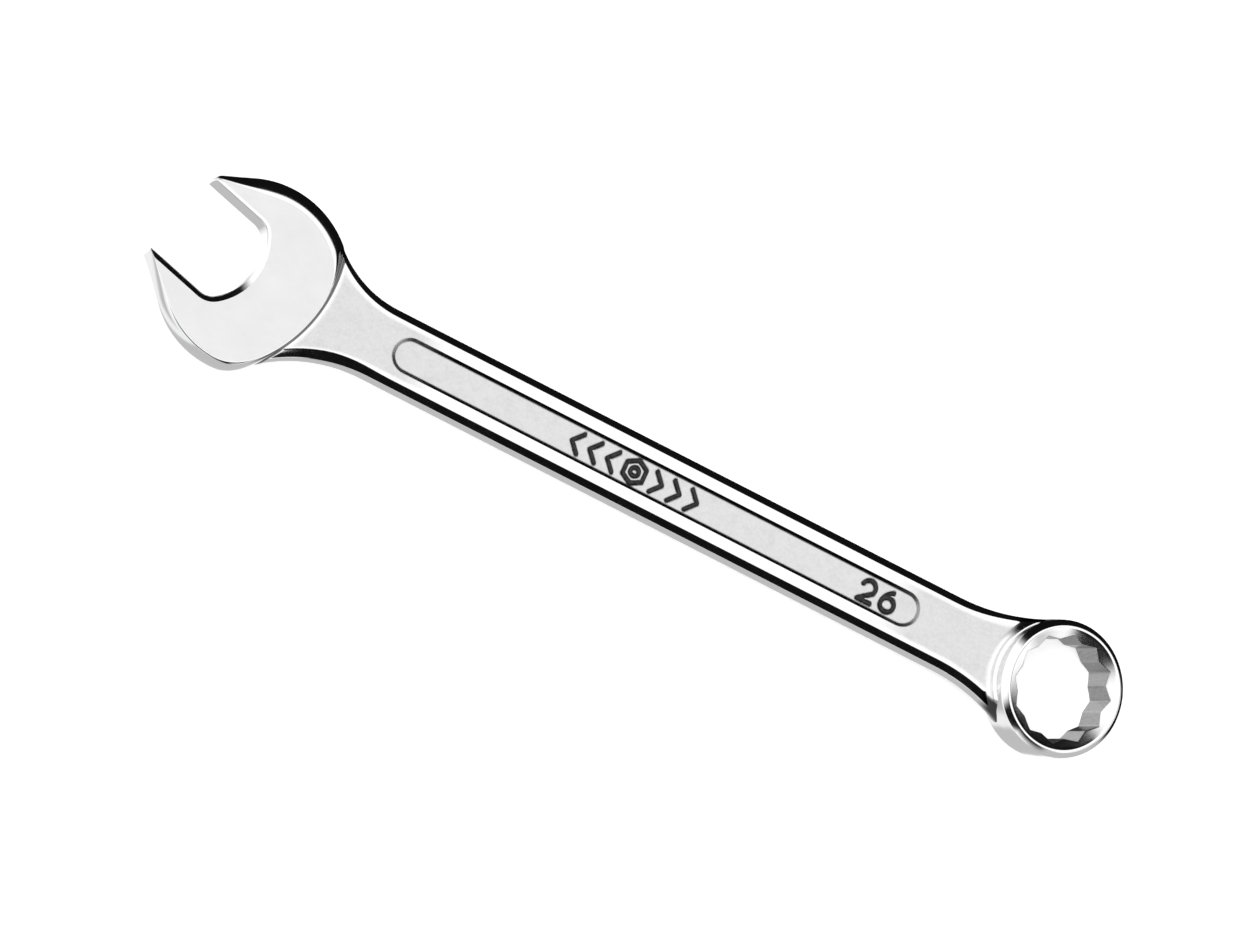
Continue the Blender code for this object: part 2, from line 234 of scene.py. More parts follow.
STUDIO_HIGH = 1.15
STUDIO_LOW = 0.54
STUDIO_LOW_FRONT = 0.92
STUDIO_DARK = 0.005
LOW_Z_SPAN = (0.25, 0.0)
LOW_Y_SPAN = (0.05, -0.15)
FRONT_X_SPAN = (-0.14, -0.26)
FRONT_END_X_SPAN = (-0.5, -0.35)
FRONT_END_Z_SPAN = (-0.6, -0.4)
FLAG_DIRECTION = (0.38, 0.925)
FLAG_SPAN = (0.15, 0.4)
FLAG_TOP_SLOPE = 0.15
FLAG_TOP_SPAN = (0.82, 0.72)
FLAG_END_X_SPAN = (0.95, 0.8)
FLAG_END_Z_SPAN = (-0.2, -0.35)
BAND_Y_SPAN = (-0.25, -0.45)
BAND_FOOT_SLOPE = 0.6
BAND_FOOT_SPAN = (0.27, 0.37)
BAND_TOP_SPAN = (0.94, 0.82)
BAND_RING_END_SPAN = (0.85, 0.7)
BAND_HEAD_END_SPAN = (-0.63, -0.42)
BAND_GAP_X_SPAN = (0.62, 0.5)
BAND_GAP_Z_SPAN = (0.26, 0.34)

RING_CENTRE = sum(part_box("box_end_ring"), Vector()) / 2


def to_row(points):
    """Tool millimetres to row metres: the CAD ring's box is centred on the ring's own centre."""
    return (points - np.array([CENTRE_DISTANCE, 0.0, 0.0])) * MM + np.array(RING_CENTRE)


# ---------------------------------------------------------------- curves and outlines


def soft_min(a, b, blend):
    """The smaller of two values, with the corner between them rounded off."""
    near = np.maximum(blend - np.abs(a - b), 0.0) / blend
    return np.minimum(a, b) - near * near * blend / 4


def smooth_step(start, full, value):
    """0 before start, 1 past full and a smooth blend between them. full may be the lower of the two."""
    share = np.clip((value - start) / (full - start), 0.0, 1.0)
    return share * share * (3 - 2 * share)


def softened(points, cuts, steps=4, closed=False):
    """The path with each corner cut back by its own distance and bridged by a parabola."""
    points = np.asarray(points, float)
    count = len(points)
    made = [] if closed else [points[:1]]
    inner = range(count) if closed else range(1, count - 1)
    share = np.linspace(0.0, 1.0, steps + 1)[:, None]
    for i in inner:
        before, corner, after = points[i - 1], points[i], points[(i + 1) % count]
        cut = cuts if np.isscalar(cuts) else cuts[i]
        start = corner + cut * (before - corner) / np.linalg.norm(before - corner)
        end = corner + cut * (after - corner) / np.linalg.norm(after - corner)
        made.append(parabola(start, corner, end, share))
    if not closed:
        made.append(points[-1:])
    return np.concatenate(made)


def refined(path, longest, closed=False):
    """The path with its long stretches divided evenly, so that no step is longer than a limit."""
    ends = np.roll(path, -1, axis=0) if closed else path[1:]
    made = []
    for start, end in zip(path, ends):
        parts = max(1, math.ceil(np.linalg.norm(end - start) / longest - 1e-6))
        made.append(start + np.linspace(0.0, 1.0, parts, endpoint=False)[:, None] * (end - start))
    if not closed:
        made.append(path[-1:])
    return np.concatenate(made)


def parabola(start, corner, end, share):
    """A point on the parabola that leaves start towards corner and reaches end."""
    return (1 - share) ** 2 * start + 2 * share * (1 - share) * corner + share**2 * end


def arc(centre, radius, start, end, steps):
    """Points on a circle from one angle to another."""
    angles = np.linspace(start, end, steps + 1)
    return np.stack([centre[0] + radius * np.cos(angles), centre[1] + radius * np.sin(angles)], axis=1)


def turned_by(points, angle):
    """Points with x and y turned about the Z axis."""
    c, s = math.cos(angle), math.sin(angle)
    made = points.copy()
    made[..., 0] = c * points[..., 0] - s * points[..., 1]
    made[..., 1] = s * points[..., 0] + c * points[..., 1]
    return made


# ---------------------------------------------------------------- mesh building


def grid_faces(rows, columns, wrap_rows=False):
    """Quads of a grid whose columns close into a loop, and whose rows do too if asked."""
    here = np.arange(columns)
    beside = (here + 1) % columns
    faces = []
    for i in range(rows if wrap_rows else rows - 1):
        this, following = i * columns, (i + 1) % rows * columns
        quads = [this + here, this + beside, following + beside, following + here]
        faces.append(np.stack(quads, axis=1))
    return np.concatenate(faces)


def end_faces(rows, columns, ladder):
    """Faces across the first and the last row: flat caps, or a ladder of quads where the rows are curved.

    ladder is the sum of any two columns that lie one above the other, and 0 asks for flat caps.
    """
    last = (rows - 1) * columns
    if not ladder:
        first_cap = list(range(columns))[::-1]
        return [first_cap, [last + i for i in range(columns)]]
    faces = []
    for k in range(columns // 2 - 1):
        a = (ladder // 2 - k) % columns
        b = (ladder - ladder // 2 + k) % columns
        c = (b + 1) % columns
        d = (a - 1) % columns
        faces += [[a, b, c, d], [last + d, last + c, last + b, last + a]]
    return faces


def make_piece(name, grid, attributes, material, ring=False, ladder=0):
    """A closed mesh from a (rows, columns, 3) grid of tool points.

    A ring's last row joins its first one. Any other piece gets end faces, which are shaded flat.
    """
    rows, columns, _ = grid.shape
    faces = grid_faces(rows, columns, ring).tolist()
    walls = len(faces)
    if not ring:
        faces += end_faces(rows, columns, ladder)
    mesh = bpy.data.meshes.new(name)
    mesh.from_pydata(to_row(grid.reshape(-1, 3)).tolist(), [], faces)
    mesh.validate()
    if signed_volume(mesh) < 0:
        mesh.flip_normals()
    mesh.polygons.foreach_set("use_smooth", np.arange(len(faces)) < walls)
    for label, values in attributes.items():
        layer = mesh.attributes.new(label, "FLOAT", "POINT")
        layer.data.foreach_set("value", np.asarray(values, np.float32).ravel())
    mesh.materials.append(material)
    mesh.update()
    piece = bpy.data.objects.new(name, mesh)
    bpy.context.scene.collection.objects.link(piece)
    return piece


def signed_volume(mesh):
    """A number with the sign of the mesh's volume: negative where the faces point inwards."""
    mesh.calc_loop_triangles()
    points = np.empty(len(mesh.vertices) * 3)
    mesh.vertices.foreach_get("co", points)
    corners = np.empty(len(mesh.loop_triangles) * 3, np.int32)
    mesh.loop_triangles.foreach_get("vertices", corners)
    triangles = points.reshape(-1, 3)[corners.reshape(-1, 3)]
    return np.linalg.det(triangles).sum()


# ---------------------------------------------------------------- open-end head


def outline_reach(angle, radii, cheek_angles, mouth_reach, back_radius, blends):
    """Distance from the head's centre to one outline: its cheeks, the ends of its jaws and its back."""
    turn = np.abs(angle)
    right_share = smooth_step(-HEAD_SIDE_CHANGE, HEAD_SIDE_CHANGE, np.sin(angle))

    def for_side(pair):
        return pair[0] + right_share * (pair[1] - pair[0])

    cheek = for_side(radii) / np.cos(np.maximum(for_side(cheek_angles) - turn, 0.0))
    front = mouth_reach / np.cos(np.clip(angle + MOUTH_SKEW, -MOUTH_TURN_LIMIT, MOUTH_TURN_LIMIT))
    cheek = np.where(turn < MOUTH_TURN, soft_min(cheek, front, TIP_BLEND), cheek)
    along = np.cos(angle) * HEAD_BACK_CENTRE[0] + np.sin(angle) * HEAD_BACK_CENTRE[1]
    behind = along + np.sqrt(along**2 + back_radius**2 - HEAD_BACK_CENTRE @ HEAD_BACK_CENTRE)
    return soft_min(cheek, behind, for_side(blends))


def head_reach(angle, share):
    """The head's outline, as a distance from its centre: share 0 is the ground face's edge, 1 the widest."""
    face = outline_reach(
        angle, HEAD_FACE_RADIUS, HEAD_FACE_CHEEK_ANGLE, MOUTH_FACE_REACH,
        HEAD_FACE_BACK_RADIUS, HEAD_FACE_CORNER_BLEND)
    widest = outline_reach(
        angle, HEAD_RADIUS, HEAD_CHEEK_ANGLE, MOUTH_REACH, HEAD_BACK_RADIUS, HEAD_CORNER_BLEND)
    return face + share * (widest - face)


def tip_angle(side, share, jaw):
    """The angle where the head's outline crosses a jaw's line, found by halving."""
    low, high = 0.1, MOUTH_TURN
    for _ in range(HALVINGS):
        middle = (low + high) / 2
        if head_reach(side * middle, share) * math.sin(middle) < jaw:
            low = middle
        else:
            high = middle
    return side * low


def plain_throat(offset):
    """The jaw gap's edge from one jaw to the other, grown by an offset."""
    arc_centre = THROAT_DEPTH + THROAT_RADIUS
    corner_y = HALF_FLATS - THROAT_CORNER_RADIUS
    corner_x = arc_centre - math.sqrt((THROAT_RADIUS - THROAT_CORNER_RADIUS) ** 2 - corner_y**2)
    turn = math.atan2(corner_y, corner_x - arc_centre)
    left = arc((corner_x, corner_y), THROAT_CORNER_RADIUS + offset, math.pi / 2, turn, steps=18)
    floor = arc((arc_centre, 0.0), THROAT_RADIUS + offset, turn, 2 * math.pi - turn, steps=24)
    right = left[::-1] * np.array([1.0, -1.0])
    return np.concatenate([left, floor[1:-1], right])


def throat_path(offsets):
    """The jaw gap's edge, with its own offset at each jaw and a blend between them round the throat."""
    edge = plain_throat(0.0)
    side = smooth_step(-HALF_FLATS, HALF_FLATS, edge[:, 1])
    offset = offsets[0] + side * (offsets[1] - offsets[0])
    return edge + offset[:, None] * (plain_throat(1.0) - edge)


def head_loop(share, offsets):
    """One closed outline of the head: round the back from one tip to the other, then the throat."""
    left = tip_angle(1.0, share, HALF_FLATS + offsets[1])
    right = tip_angle(-1.0, share, HALF_FLATS + offsets[0])
    angles = np.linspace(left, 2 * math.pi + right, HEAD_OUTLINE_POINTS)
    reach = head_reach((angles + math.pi) % (2 * math.pi) - math.pi, share)
    outer = np.stack([reach * np.cos(angles), reach * np.sin(angles)], axis=1)
    throat = throat_path(offsets)[::-1]
    straight = np.linspace(0.0, 1.0, JAW_POINTS)[1:-1, None]
    inward = outer[-1] + straight * (throat[0] - outer[-1])
    outward = throat[-1] + straight * (outer[0] - throat[-1])
    first = softened([outward[-1], outer[0], outer[2]], TIP_CUT)[1:-1]
    last = softened([outer[-3], outer[-1], inward[0]], TIP_CUT)[1:-1]
    return np.concatenate([first, outer[2:-2], last, inward, throat, outward])


def jaw_offsets(heights):
    """How far the chamfered edge of each jaw stands back at each height, as (left, right) pairs."""
    offsets = []
    for width, depth in zip(JAW_CHAMFER_WIDTH, JAW_CHAMFER_DEPTH):
        corners = [(width, HEAD_HALF), (0.0, HEAD_HALF - depth), (0.0, 0.0)]
        chamfer = softened(corners, JAW_CHAMFER_CUT, steps=6)
        offsets.append(np.interp(-heights, -chamfer[:, 1], chamfer[:, 0]))
    return list(zip(*offsets))


def head_painted_shade(grid):
    """Painted shade on the low step where the head's back stands up from the shank's face."""
    height = np.abs(grid[..., 2])
    on_wall = np.abs(head_distance(grid)) < SHADE_BACK_REACH
    at_back = smooth_step(*SHADE_BACK_SPAN, grid[..., 0]) * on_wall
    above_shank = smooth_step(SHANK_HALF - SHADE_STEP_FOOT, SHANK_HALF, height)
    below_face = smooth_step(HEAD_HALF, HEAD_HALF - SHADE_STEP_TOP, height)
    return HEAD_SHADE_SHARE * at_back * above_shank * below_face


def make_head(material):
    """The head's side is a half ellipse from face to face, and its throat has softened chamfers."""
    heights = HEAD_HALF * np.cos(HEAD_SWELL_TURNS)
    upper = []
    for share, offsets, height in zip(np.sin(HEAD_SWELL_TURNS), jaw_offsets(heights), heights):
        loop = head_loop(share, offsets)
        upper.append(np.column_stack([loop, np.full(len(loop), height)]))
    lower = [row * np.array([1.0, 1.0, -1.0]) for row in reversed(upper[:-1])]
    grid = turned_by(np.stack(upper + lower), math.pi - JAW_ANGLE)
    ground = np.zeros(grid.shape[:2])
    ground[0] = ground[-1] = 1.0
    # The painted shade at the head's back goes to the material as an attribute.
    attributes = {"ground": ground, "painted_shade": head_painted_shade(grid)}
    return make_piece("open_end_head_forging", grid, attributes, material)


# ---------------------------------------------------------------- marks


def emblem_paths():
    """A plain hexagon nut with three chevrons on each side of it, pointing away."""
    centre = (EMBLEM_CENTRE, 0.0)
    paths = [
        arc(centre, MARK_HEIGHT / math.sqrt(3.0), math.pi / 6, 2 * math.pi + math.pi / 6, steps=6),
        arc(centre, NUT_HOLE_RADIUS, 0.0, 2 * math.pi, steps=24),
    ]
    for side in (1, -1):
        for i in range(CHEVRON_COUNT):
            tip = EMBLEM_CENTRE + side * (CHEVRON_FIRST + i * CHEVRON_SPACING)
            back = tip - side * CHEVRON_LENGTH
            paths.append(np.array([(back, MARK_HEIGHT / 2), (tip, 0.0), (back, -MARK_HEIGHT / 2)]))
    return paths


def numeral_paths():
    """The size, 26, in plain round strokes."""
    half_width = DIGIT_WIDTH / 2
    foot = -MARK_HEIGHT / 2
    two_x = NUMERAL_CENTRE - NUMERAL_SPACING / 2
    crown_y = -foot - half_width
    crown = arc((two_x, crown_y), half_width, math.radians(165.0), math.radians(-35.0), steps=20)
    two = np.concatenate([crown, [(two_x - half_width, foot), (two_x + half_width, foot)]])
    six_x = NUMERAL_CENTRE + NUMERAL_SPACING / 2
    bowl_y = foot + half_width
    bowl = arc((six_x, bowl_y), half_width, 0.0, 2 * math.pi, steps=28)
    sweep = MARK_HEIGHT - half_width
    tail_x = six_x + sweep - half_width
    tail = arc((tail_x, bowl_y), sweep, math.radians(178.0), math.radians(112.0), steps=12)
    return [two, bowl, tail]


def distance_to_path(x, y, path):
    """Distance from each (x, y) to a path of straight pieces."""
    nearest = np.full(x.shape, np.inf)
    for (ax, ay), (bx, by) in zip(path, path[1:]):
        dx, dy = bx - ax, by - ay
        share = np.clip(((x - ax) * dx + (y - ay) * dy) / (dx * dx + dy * dy), 0.0, 1.0)
        nearest = np.minimum(nearest, np.hypot(x - ax - share * dx, y - ay - share * dy))
    return nearest


def mark_distance(x, y):
    """Distance from each (x, y) to the nearest line of the marks."""
    paths = emblem_paths() + numeral_paths()
    return np.minimum.reduce([distance_to_path(x, y, path) for path in paths])


# ---------------------------------------------------------------- shank


def flare(distance, radius):
    """How far an arc that starts tangent to a line has left it after a distance along that line."""
    inside = np.clip(distance, 0.0, radius - 0.01)
    return radius - np.sqrt(radius**2 - inside**2)


def face_half_width(x, side):
    """Half of the flat face's width at x. side is 1 on the left and -1 on the right."""
    widest = SHANK_FACE_HALF_WIDTH + SIDE_BULGE
    gain = RING_RADIUS - widest
    ring_neck_radius = (RING_NECK_LENGTH**2 / gain - RING_RADIUS - widest) / 2
    at_head = flare(np.where(side > 0, *NECK_START) - x, np.where(side > 0, *NECK_RADIUS))
    at_ring = flare(x - CENTRE_DISTANCE + RING_NECK_LENGTH, ring_neck_radius)
    dive = RING_DIVE * np.maximum(x - RING_DIVE_START, 0.0) ** 2
    return soft_min(widest + at_head + at_ring - dive, NECK_LIMIT, NECK_LIMIT_BLEND) - SIDE_BULGE


def panel_distance(x, y):
    """Signed distance to the sunk panel's round-ended outline, negative inside it."""
    low, high = PANEL_START + PANEL_HALF_WIDTH, PANEL_END - PANEL_HALF_WIDTH
    return np.hypot(x - np.clip(x, low, high), y) - PANEL_HALF_WIDTH


def panel_depth(distance):
    """How deep the panel is sunk at a distance from its outline. Its wall slopes and has soft corners."""
    foot = PANEL_WALL_TOP - PANEL_WALL_WIDTH
    corners = [(-2.0, PANEL_DEPTH), (foot, PANEL_DEPTH), (PANEL_WALL_TOP, 0.0), (2.0, 0.0)]
    wall = softened(corners, PANEL_WALL_CUT, steps=6)
    return np.interp(distance, wall[:, 0], wall[:, 1])


def mark_depth(distance):
    """A mark's groove has a round bottom."""
    return MARK_DEPTH * np.sqrt(np.clip(1.0 - (distance / MARK_HALF_WIDTH) ** 2, 0.0, 1.0))


def ring_distance(points):
    """Distance of tool points from the ring's outer wall, positive outside it."""
    c, s = math.cos(RING_ANGLE), math.sin(RING_ANGLE)
    along = c * (points[..., 0] - CENTRE_DISTANCE) - s * points[..., 2]
    return np.hypot(along, points[..., 1]) - RING_RADIUS


def head_distance(points):
    """Distance of tool points from the head's back wall, positive outside it."""
    centre = turned_by(np.append(HEAD_BACK_CENTRE, 0.0), math.pi - JAW_ANGLE)
    share = np.sqrt(np.clip(1.0 - (points[..., 2] / HEAD_HALF) ** 2, 0.0, 1.0))
    wall = HEAD_FACE_BACK_RADIUS + share * (HEAD_BACK_RADIUS - HEAD_FACE_BACK_RADIUS)
    return np.hypot(points[..., 0] - centre[0], points[..., 1] - centre[1]) - wall


def rounded_rise(distance, radius):
    """How far a fillet of this radius has climbed its wall, at a distance from the wall."""
    near = np.clip(distance, 0.0, radius)
    return radius - np.sqrt(radius**2 - (radius - near) ** 2)


def side_profile():
    """The shank's side from the top face's edge to the bottom one's, as (distance beyond the edge, z)."""
    shoulder = SIDE_BULGE - SIDE_SHOULDER_INSET
    upper = [
        (-SIDE_EDGE_INSET, SHANK_HALF),
        (0.0, SHANK_HALF),
        (BEVEL_WIDTH, SHANK_HALF - BEVEL_DEPTH),
        (shoulder, SIDE_SHOULDER_HEIGHT),
    ]
    lower = [(beyond, -z) for beyond, z in reversed(upper)]
    upper_cuts = [0, 0.3, 0.4, 0.8]
    cuts = upper_cuts + [0.8] + upper_cuts[::-1]
    return refined(softened(upper + [(SIDE_BULGE, 0.0)] + lower, cuts, steps=5), longest=0.6)


def section_columns():
    """One column for each line that runs along the shank: (y base, share of flare, beyond the face, z).

    The loop starts at the left edge of the top face and goes right, down, left along the bottom and up.
    The second value is the sum of any two columns that lie one above the other.
    """
    panel_edge = np.concatenate([np.arange(4.2, 5.3, 0.1), [5.5, 5.9]])
    panel_floor = np.linspace(-4.1, 4.1, 31)
    flare_shares = (0.75, 0.5, 0.25, 0.0)

    def face(z):
        row = [(SHANK_CORE, share, -SIDE_EDGE_INSET * share, z) for share in flare_shares]
        row += [(y, 0.0, 0.0, z) for y in [*panel_edge[::-1], *panel_floor[::-1], *-panel_edge]]
        row += [(-SHANK_CORE, share, -SIDE_EDGE_INSET * share, z) for share in flare_shares[::-1]]
        return row

    side = side_profile()
    right = [(-SHANK_CORE, 1.0, beyond, z) for beyond, z in side]
    left = [(SHANK_CORE, 1.0, beyond, z) for beyond, z in side[::-1]]
    top = face(SHANK_HALF)
    bottom = face(-SHANK_HALF)[::-1]
    return np.array(top + right + bottom + left), 2 * len(top) + len(right) - 1


def plain_section(x, columns):
    """Tool points of the shank before its panel, marks and fillets. The bevel changes towards both ends."""
    base, share, beyond, z = columns.T
    side = np.sign(base) + (base == 0)
    at_head = np.where(side > 0, *NECK_BEVEL_GAIN) * smooth_step(*NECK_BEVEL_SPAN, x)
    at_ring = np.where(side > 0, *RING_BEVEL_GAIN) * smooth_step(*RING_BEVEL_SPAN, x)
    grown = at_head + at_ring
    inward = grown * np.clip(SIDE_BULGE - beyond, 0.0, SIDE_BULGE) * share
    y = base + side * (share * (face_half_width(x, side) - SHANK_CORE) + beyond - inward)
    steep = np.clip((SHANK_HALF - np.abs(z)) / (SHANK_HALF - SIDE_SHOULDER_HEIGHT), 0.0, 1.0)
    z = z * (1.0 - grown * steep * (1.0 - steep))
    return np.stack([x, y, z], axis=-1)


def x_at_distance(distance, columns, measure, search):
    """The x at which each column comes within a distance of a wall, halving from outside x to inside x."""
    near = np.full(len(columns), search[0])
    far = np.full(len(columns), search[1])
    for _ in range(HALVINGS):
        middle = (near + far) / 2
        beyond = measure(plain_section(middle, columns)) > distance
        near = np.where(beyond, middle, near)
        far = np.where(beyond, far, middle)
    return (near + far) / 2


def shank_stations(columns):
    """x for each station and column: stations follow the head's wall and the ring's wall at the two ends."""
    head_steps = [-OVERLAP, -0.4, 0.0, 0.08, 0.18, 0.3, 0.45, 0.6, 0.8, 1.2, 1.8, 2.6, 3.6, 4.8, 6.0]
    ring_steps = [
        8.0, 7.0, 6.0, 5.2, 4.5, 3.9, 3.4, 3.0, 2.6, 2.2, 1.9, 1.6, 1.3, 1.05, 0.8, 0.6, 0.4, 0.25, 0.12,
        0.0, -0.4, -OVERLAP]
    near_head = [x_at_distance(d, columns, head_distance, HEAD_SEARCH) for d in head_steps]
    near_ring = [x_at_distance(d, columns, ring_distance, RING_SEARCH) for d in ring_steps]
    plain = np.concatenate([
        np.arange(42.0, 49.0, 0.25),
        np.arange(49.0, 94.0, 2.5),
        np.arange(94.0, 140.0, 0.25),
        np.arange(140.0, 184.0, 2.0),
        np.arange(184.0, 205.0, 0.25),
    ])
    straight = [np.full(len(columns), x) for x in plain]
    shares = np.linspace(0, 1, 9)[1:-1]
    to_head = [near_head[-1] + share * (plain[0] - near_head[-1]) for share in shares]
    to_ring = [plain[-1] + share * (near_ring[0] - plain[-1]) for share in shares]
    return np.stack(near_head + to_head + straight + to_ring + near_ring)


def foot_height(y):
    """Height of the ring's lower face where the shank meets the ring's wall."""
    across = np.sqrt(np.clip(1.0 - (y / RING_RADIUS) ** 2, 0.0, 1.0))
    return math.sin(RING_ANGLE) * RING_RADIUS * across - math.cos(RING_ANGLE) * RING_HALF


def on_faces(plain):
    """Which points lie on the shank's top face, and which on its bottom one."""
    return np.isclose(plain[..., 2], SHANK_HALF), np.isclose(plain[..., 2], -SHANK_HALF)


def shank_surface(plain, marks):
    """The shank with its panels and marks cut, its fillets raised and its underside rising to the ring."""
    x, y, z = np.moveaxis(plain, -1, 0).copy()
    on_top, on_bottom = on_faces(plain)
    top = smooth_step(*FACE_LEVEL_SPAN, z / SHANK_HALF)
    bottom = smooth_step(*FACE_LEVEL_SPAN, -z / SHANK_HALF)
    from_ring = ring_distance(plain)
    sunk = panel_depth(panel_distance(x, y))
    z = z - on_top * (sunk + mark_depth(marks)) + on_bottom * sunk
    z = z + (top - bottom) * rounded_rise(head_distance(plain), HEAD_FILLET)
    z = z + top * rounded_rise(from_ring, RING_FILLET)
    foot = np.maximum(foot_height(y) + SHANK_HALF + FOOT_CLEARANCE, 0.0)
    rise = smooth_step(FOOT_RISE_LENGTH, 0.0, from_ring) * foot
    z = z + rise * (1.0 - (z + SHANK_HALF) / (2 * SHANK_HALF)).clip(0.0, 1.0)
    return np.stack([x, y, z], axis=-1)


def shank_satin(plain):
    """Satin lies on the panels' floors and on the faces of the flared ends, clear of every edge."""
    x, y, _ = np.moveaxis(plain, -1, 0)
    on_top, on_bottom = on_faces(plain)
    flared = np.maximum(smooth_step(*SATIN_HEAD_SPAN, x), smooth_step(*SATIN_RING_SPAN, x))
    half_width = np.where(y > 0, face_half_width(x, 1), face_half_width(x, -1))
    inside = smooth_step(*SATIN_EDGE_SPAN, half_width - np.abs(y))
    in_panel = smooth_step(*SATIN_PANEL_SPAN, panel_distance(x, y))
    satin = (on_top | on_bottom) * np.maximum(in_panel, flared * inside)
    satin = satin * smooth_step(*SATIN_FROM_HEAD_SPAN, head_distance(plain))
    return satin * smooth_step(*SATIN_FROM_RING_SPAN, ring_distance(plain))


def shank_painted_shade(plain):
    """Painted shade along the head and at the foot of the panel's wall, and painted shade and a painted dark
    reflection on the bevel and the upper side next to the ring's side.
    """
    x, y, z = np.moveaxis(plain, -1, 0)
    on_top, on_bottom = on_faces(plain)
    level = z / SHANK_HALF
    from_ring = ring_distance(plain)
    panel = panel_distance(x, y)
    at_head = HEAD_SHADE_SHARE * smooth_step(SHADE_WIDTH, 0.5 * SHADE_WIDTH, head_distance(plain))
    on_side = smooth_step(*SHADE_HIGH_LEVEL_SPAN, level) * smooth_step(*SHADE_LOW_LEVEL_SPAN, level)
    at_ring = smooth_step(*SHADE_RING_SPAN, from_ring) * on_side
    on_wall = smooth_step(*SHADE_WALL_TOP_SPAN, panel) * smooth_step(*SHADE_WALL_FOOT_SPAN, panel)
    at_panel = PANEL_SHADE_SHARE * on_wall * (on_top | on_bottom)
    return np.maximum(np.maximum(at_head, at_ring), at_panel)


def make_shank(material):
    columns, ladder = section_columns()
    plain = plain_section(shank_stations(columns), columns)
    on_top, _ = on_faces(plain)
    marks = np.where(on_top, mark_distance(plain[..., 0], plain[..., 1]), NO_MARK)
    # The painted shade goes to the material as an attribute, beside the satin and the marks.
    attributes = {"satin": shank_satin(plain), "mark": marks, "painted_shade": shank_painted_shade(plain)}
    return make_piece("shank_forging", shank_surface(plain, marks), attributes, material, ladder=ladder)


# ---------------------------------------------------------------- box-end ring


def bore_outline():
    """The 12-point star, with its corners a little rounded, as a broach leaves them."""
    point_radius = HALF_FLATS / math.cos(math.pi / 6)
    notch_radius = HALF_FLATS / math.cos(math.pi / BORE_POINTS)
    number = np.arange(2 * BORE_POINTS)
    angles = np.pi * number / BORE_POINTS
    radii = np.where(number % 2, point_radius, notch_radius)
    corners = np.stack([radii * np.cos(angles), radii * np.sin(angles)], axis=1)
    cuts = np.where(number % 2, BORE_POINT_CUT, BORE_NOTCH_CUT)
    return refined(softened(corners, cuts, closed=True), longest=0.5, closed=True)


def ring_rim(slope):
    """The ring's upper half in section, from the middle of its outer wall to just inside the bore's mouth."""
    corners = [
        (RING_RADIUS, 0.0),
        (RING_RADIUS - RING_DRAFT, RING_HALF - RING_EDGE),
        (RING_RADIUS - RING_EDGE, RING_HALF),
        (BORE_MOUTH_RADIUS, RING_HALF),
        (BORE_MOUTH_RADIUS - BORE_LIP, RING_HALF - BORE_LIP * slope),
    ]
    cuts = [0, 0.35, 0.25, 0.2, 0]
    return refined(softened(corners, cuts, steps=8), longest=1.2)[:-1]


def bore_rows(bore, lip, slope):
    """Rows of (radius, height) down the lead-in cone, round its lower edge and down the bore's wall."""
    edge = np.column_stack([bore, RING_HALF - (BORE_MOUTH_RADIUS - bore) * slope])
    towards_lip = (lip - edge) / np.linalg.norm(lip - edge, axis=1)[:, None]
    start = edge + towards_lip * BORE_EDGE_CUT
    end = edge - np.array([0.0, BORE_EDGE_CUT])
    cone = [lip + share * (start - lip) for share in (0.3, 0.6, 0.9)]
    bend = [parabola(start, edge, end, share) for share in (0.0, 0.33, 0.67, 1.0)]
    wall = [end * np.array([1.0, 1.0 - share]) for share in (0.06, 0.35, 0.7, 1.0)]
    return cone, bend, wall


def make_ring(material):
    star = bore_outline()
    bore = np.hypot(star[:, 0], star[:, 1])
    across = star / bore[:, None]
    notch_radius = HALF_FLATS / math.cos(math.pi / BORE_POINTS)
    slope = BORE_CHAMFER_DEPTH / (BORE_MOUTH_RADIUS - notch_radius)
    rim = [np.tile(point, (len(bore), 1)) for point in ring_rim(slope)]
    cone, bend, wall = bore_rows(bore, rim[-1], slope)
    upper = rim + cone + bend + wall
    lower = [row * np.array([1.0, -1.0]) for row in reversed(upper[1:-1])]
    radius, height = np.moveaxis(np.stack(upper + lower), -1, 0)
    first_broached = len(rim) + len(cone) + 2
    turned = np.zeros(radius.shape)
    turned[len(rim):first_broached] = 1.0
    broached = np.zeros(radius.shape)
    broached[first_broached:len(upper) + len(wall) + 1] = 1.0
    x, y = radius * across[:, 0], radius * across[:, 1]
    c, s = math.cos(RING_ANGLE), math.sin(RING_ANGLE)
    grid = np.stack([c * x + s * height + CENTRE_DISTANCE, y, c * height - s * x], axis=-1)
    attributes = {"broached": broached, "turned": turned}
    return make_piece("box_end_ring_forging", grid, attributes, material, ring=True)


# ---------------------------------------------------------------- materials


